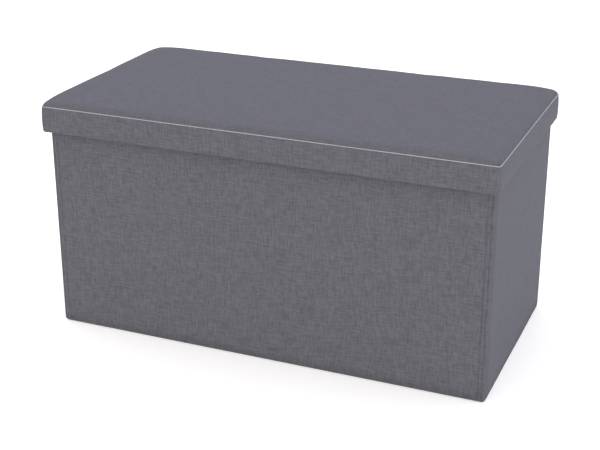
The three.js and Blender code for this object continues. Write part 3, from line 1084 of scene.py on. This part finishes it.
# %% Rim facing
RIM_LAP = 2.5 * MM
RIM_CLOTH = 0.4 * MM
RIM_RIPPLE, RIM_RIPPLE_SPAN = 0.2 * MM, 40 * MM
wall_thickness = BODY_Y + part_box("wall_lining_front")[1].y
rim_section = [
    (0.0, RIM_Z - 1.2 * MM),
    (0.2 * MM, RIM_Z - 0.5 * MM),
    (0.8 * MM, RIM_Z - 0.1 * MM),
    (1.8 * MM, RIM_Z),
    (wall_thickness - 1.8 * MM, RIM_Z),
    (wall_thickness - 0.7 * MM, RIM_Z - 0.2 * MM),
    (wall_thickness - 0.1 * MM, RIM_Z - 0.8 * MM),
    (wall_thickness, RIM_Z - 2.0 * MM),
    (wall_thickness, RIM_Z - 14 * MM),
    (wall_thickness + 0.2 * MM, RIM_Z - 28 * MM),
    (wall_thickness + 0.4 * MM, rim_low.z + 3.0 * MM),
    (wall_thickness + 0.5 * MM, rim_low.z - 1.0 * MM),
    (wall_thickness + 0.3 * MM, rim_low.z - RIM_LAP),
]


def rim_waver(point):
    """The turned-down facing ripples slightly; the rim itself stays taut."""
    hang = min(max((RIM_Z - 4 * MM - point.z) / (20 * MM), 0), 1)
    return noise.noise(point / RIM_RIPPLE_SPAN) * RIM_RIPPLE * hang


bm = band(doubled(rim_section, -RIM_CLOTH), BODY_X, BODY_Y, BODY_CORNER, 15 * MM, rim_waver)
finished(bm, "rim_facing", linen, "bench_body", ["wall_rim_facing"])
print("rim facing made")

# %% [markdown]
# ## Inner linings
#
# Inside, each wall is faced with a thin non-woven sheet, glued at its edges only, so it
# ripples a little. Each is a slab cut into squares, with one slow noise moving its points
# towards the inside.

# %% Inner linings
LINING_CUTS_LONG = 28
LINING_CUTS_UP = 16
LINING_RIPPLE, LINING_RIPPLE_SPAN = 0.25 * MM, 60 * MM


def lining_panel(node, name):
    """The flat lining, gently rippled, in the place of its plain sheet."""
    low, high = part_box(node)
    size = high - low
    bm = slab(low, high)
    longest = max(range(3), key=lambda axis: size[axis])
    for axis, parts in ((longest, LINING_CUTS_LONG), (2, LINING_CUTS_UP)):
        for cut in range(1, parts):
            plane = Vector(low)
            share = cut / parts
            plane[axis] = low[axis] + share * size[axis]
            normal = Vector((0, 0, 0))
            normal[axis] = 1
            bmesh.ops.bisect_plane(bm, geom=bm.verts[:] + bm.edges[:] + bm.faces[:],
                                   plane_co=plane, plane_no=normal)
    thin = min(range(3), key=lambda axis: size[axis])
    for v in bm.verts:
        inwards = -1 if v.co[thin] > 0 else 1
        ripple = noise.noise(v.co / LINING_RIPPLE_SPAN) + 1
        v.co[thin] += inwards * ripple * LINING_RIPPLE
    return finished(bm, name, lining, "bench_body", [node])


for side_name in ("front", "back", "left", "right"):
    lining_panel(f"wall_lining_{side_name}", f"{side_name}_inner_lining")
print("linings made")

# %% [markdown]
# ## Base and its hem
#
# Under the bench the outer cloth turns in as a hem and the base lining lies over it. The
# hem is a band with a quarter round at the foot. The lining is a slab, kept inside the
# round corners of the hem.

# %% Base and its hem
HEM_WIDTH = 22 * MM
HEM_CLOTH = 0.3 * MM
HEM_STEPS = 6
BASE_INSET = 6 * MM
BASE_LIFT = 0.5 * MM
HEM_ROUND = 3.5 * MM
hem_section = [(0.25 * MM, HEM_ROUND + 1.5 * MM), (0.05 * MM, HEM_ROUND + 0.2 * MM)]
for step in range(1, HEM_STEPS + 1):
    angle = math.pi / 2 * step / HEM_STEPS
    hem_section.append((HEM_ROUND * (1 - math.cos(angle)), HEM_ROUND * (1 - math.sin(angle))))
hem_section.append((HEM_WIDTH - 1 * MM, 0.0))
hem_section.append((HEM_WIDTH, 0.1 * MM))
bm = band(doubled(hem_section, HEM_CLOTH), BODY_X, BODY_Y, BODY_CORNER, 30 * MM)
finished(bm, "base_hem", linen, "bench_body")

inner_base = Vector((BODY_X - BASE_INSET, BODY_Y - BASE_INSET, FABRIC))
bm = slab((-inner_base.x, -inner_base.y, BASE_LIFT), inner_base)
finished(bm, "base_lining", lining, "bench_body", ["base_fabric"])
print("base made")

# %% [markdown]
# ## Stitches
#
# A stitch is a short rounded dash of thread. Each is a small six-sided ball, drawn out along
# the seam. A row repeats it at its real spacing, so the seam can be looked at closely. With
# hundreds of them, each has only a few faces.

# %% Stitch rows
STITCH = 3.2 * MM
STITCH_SPACING = 4.2 * MM
THREAD = 0.35 * MM


def add_stitch(bm, middle_point, along, out):
    """One stitch lying along a direction, half sunk in the cloth."""
    made = bmesh.ops.create_uvsphere(bm, u_segments=6, v_segments=4, radius=1.0)["verts"]
    side = out.cross(along)
    turn_to = Matrix((side, out, along)).transposed()
    shape = turn_to @ Matrix.Diagonal((THREAD, THREAD, STITCH / 2))
    for v in made:
        v.co = shape @ v.co + middle_point


def stitch_row(bm, start, end, out):
    """Stitches in a straight row between two points."""
    start, end, out = Vector(start), Vector(end), Vector(out)
    run = end - start
    count = max(1, int(run.length / STITCH_SPACING))
    for number in range(count):
        add_stitch(bm, start + run * ((number + 0.5) / count), run.normalized(), out)


print("stitches every", round(STITCH_SPACING / MM, 1), "mm")

# %% [markdown]
# ## Stitches along the rim facing
#
# One row runs round the inside, just above the lower edge of the facing, and holds it to
# the lining. The row stands half a millimetre in front of the wall, because the facing's
# ripple would otherwise bury some of the stitches.

# %% Stitches along the rim
STITCH_PROUD = 0.5 * MM
ROW_ABOVE_EDGE = 5 * MM
inner_x = BODY_X - wall_thickness
inner_y = BODY_Y - wall_thickness
row_z = rim_low.z + ROW_ABOVE_EDGE
bm = bmesh.new()
row_y, row_x = inner_y - STITCH_PROUD, inner_x - STITCH_PROUD
stitch_row(bm, (-inner_x, -row_y, row_z), (inner_x, -row_y, row_z), (0, 1, 0))
stitch_row(bm, (-inner_x, row_y, row_z), (inner_x, row_y, row_z), (0, -1, 0))
stitch_row(bm, (-row_x, -inner_y, row_z), (-row_x, inner_y, row_z), (1, 0, 0))
stitch_row(bm, (row_x, -inner_y, row_z), (row_x, inner_y, row_z), (-1, 0, 0))
finished(bm, "rim_stitching", grey_thread, "bench_body")
print("rim stitching made")

# %% [markdown]
# ## Floor panel, hinge tape and ribbon
#
# The floor panel is a board in the same dark lining as the walls. A woven tape holds it along
# the back wall, and a ribbon at the front edge pulls it up. All are flat sheets, so each is
# a slab with softly rounded edges, and so are the linings under the lid and its skirt.

# %% Floor panel covers
def soft_board(node, name, material, body, rounding):
    """A thin cover with softly rounded edges, in the place of its plain sheet."""
    low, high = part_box(node)
    bm = slab(low, high)
    round_edges(bm, rounding, 3, lambda e: True)
    return finished(bm, name, material, body, [node])


LINING_ROUND = 0.35 * MM
soft_board("floor_cover", "floor_panel_cover", lining, "floor_panel",
           LINING_ROUND)
soft_board("floor_backing", "floor_panel_backing", lining, "floor_panel",
           LINING_ROUND)
soft_board("floor_hinge_tape", "floor_hinge_webbing", tape_cloth, "bench_body",
           0.5 * MM)
soft_board("lid_lining", "lid_underside_lining", lining, "lid", LINING_ROUND)
for side_name in ("front", "back", "left", "right"):
    soft_board(f"skirt_lining_{side_name}", f"skirt_{side_name}_inner_lining", lining, "lid",
               LINING_ROUND)
print("flat covers made:", len([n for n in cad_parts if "lining" in n]), "linings in all")

# %% [markdown]
# ## Wrapped edge of the floor panel
#
# The cover of a real panel is one sheet, turned over the board's edge and glued beneath. A
# thin band around the edge joins the two flat covers, so the panel looks wrapped when it
# swings up.

# %% Wrapped edge of the floor panel
WRAP_OUT = 0.25 * MM
WRAP_CLOTH = 0.15 * MM
WRAP_CORNER = 0.8 * MM
panel_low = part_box("floor_backing")[0].z
panel_high = floor_high.z
wrap_section = [
    (1.6 * MM, panel_high + 0.15 * MM),
    (0.5 * MM, panel_high + 0.15 * MM),
    (0.1 * MM, panel_high - 0.1 * MM),
    (0.0, panel_high - 0.5 * MM),
    (0.0, panel_low + 0.6 * MM),
    (0.1 * MM, panel_low + 0.15 * MM),
    (0.5 * MM, panel_low),
]
panel_middle = (floor_low.y + floor_high.y) / 2
panel_half = (floor_high.y - floor_low.y) / 2
bm = band(doubled(wrap_section, WRAP_CLOTH), floor_high.x + WRAP_OUT, panel_half + WRAP_OUT,
          WRAP_CORNER, 40 * MM)
bmesh.ops.translate(bm, vec=(0, panel_middle, 0), verts=bm.verts)
finished(bm, "floor_panel_edge_wrap", lining, "floor_panel")
print("floor panel wrapped")

# %% [markdown]
# ## Ribbon
#
# The ribbon is webbing, fixed with a stitched box and cross, the usual way to anchor it. The
# six rows use the same stitch as the rim.

# %% Ribbon with its stitched box
BOX_INSET = 4 * MM
BOX_LENGTH = 22 * MM
ribbon_low, ribbon_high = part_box("floor_pull_ribbon")
soft_board("floor_pull_ribbon", "floor_ribbon", tape_cloth, "floor_panel", 0.4 * MM)
bm = bmesh.new()
top_z = ribbon_high.z
left, right = ribbon_low.x + BOX_INSET, ribbon_high.x - BOX_INSET
near, far = ribbon_high.y - BOX_LENGTH, ribbon_high.y - BOX_INSET
left_near, right_near = (left, near, top_z), (right, near, top_z)
left_far, right_far = (left, far, top_z), (right, far, top_z)
box_and_cross = [
    (left_near, right_near), (left_far, right_far), (left_near, left_far),
    (right_near, right_far), (left_near, right_far), (right_near, left_far),
]
for start, end in box_and_cross:
    stitch_row(bm, start, end, (0, 0, 1))
finished(bm, "ribbon_stitching", grey_thread, "floor_panel")
print("floor panel dressed")

# %% [markdown]
# ## Boards that stay as they are
#
# The boards are flat in real life and flat in the working model, so their shapes stay. Only
# their finish changes, by putting the fibreboard into each one's material slot.

# %% Boards
board_nodes = ["lid_board", "floor_board", "wall_board_front", "wall_board_back"]
board_nodes += [f"skirt_board_{s}" for s in ("front", "back", "left", "right")]
board_nodes += [f"end_board_{e}_{h}" for e in ("left", "right") for h in ("front", "rear")]
for node in board_nodes:
    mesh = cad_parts[node].data
    mesh.materials.clear()
    mesh.materials.append(board)
print("boards finished:", len(board_nodes))
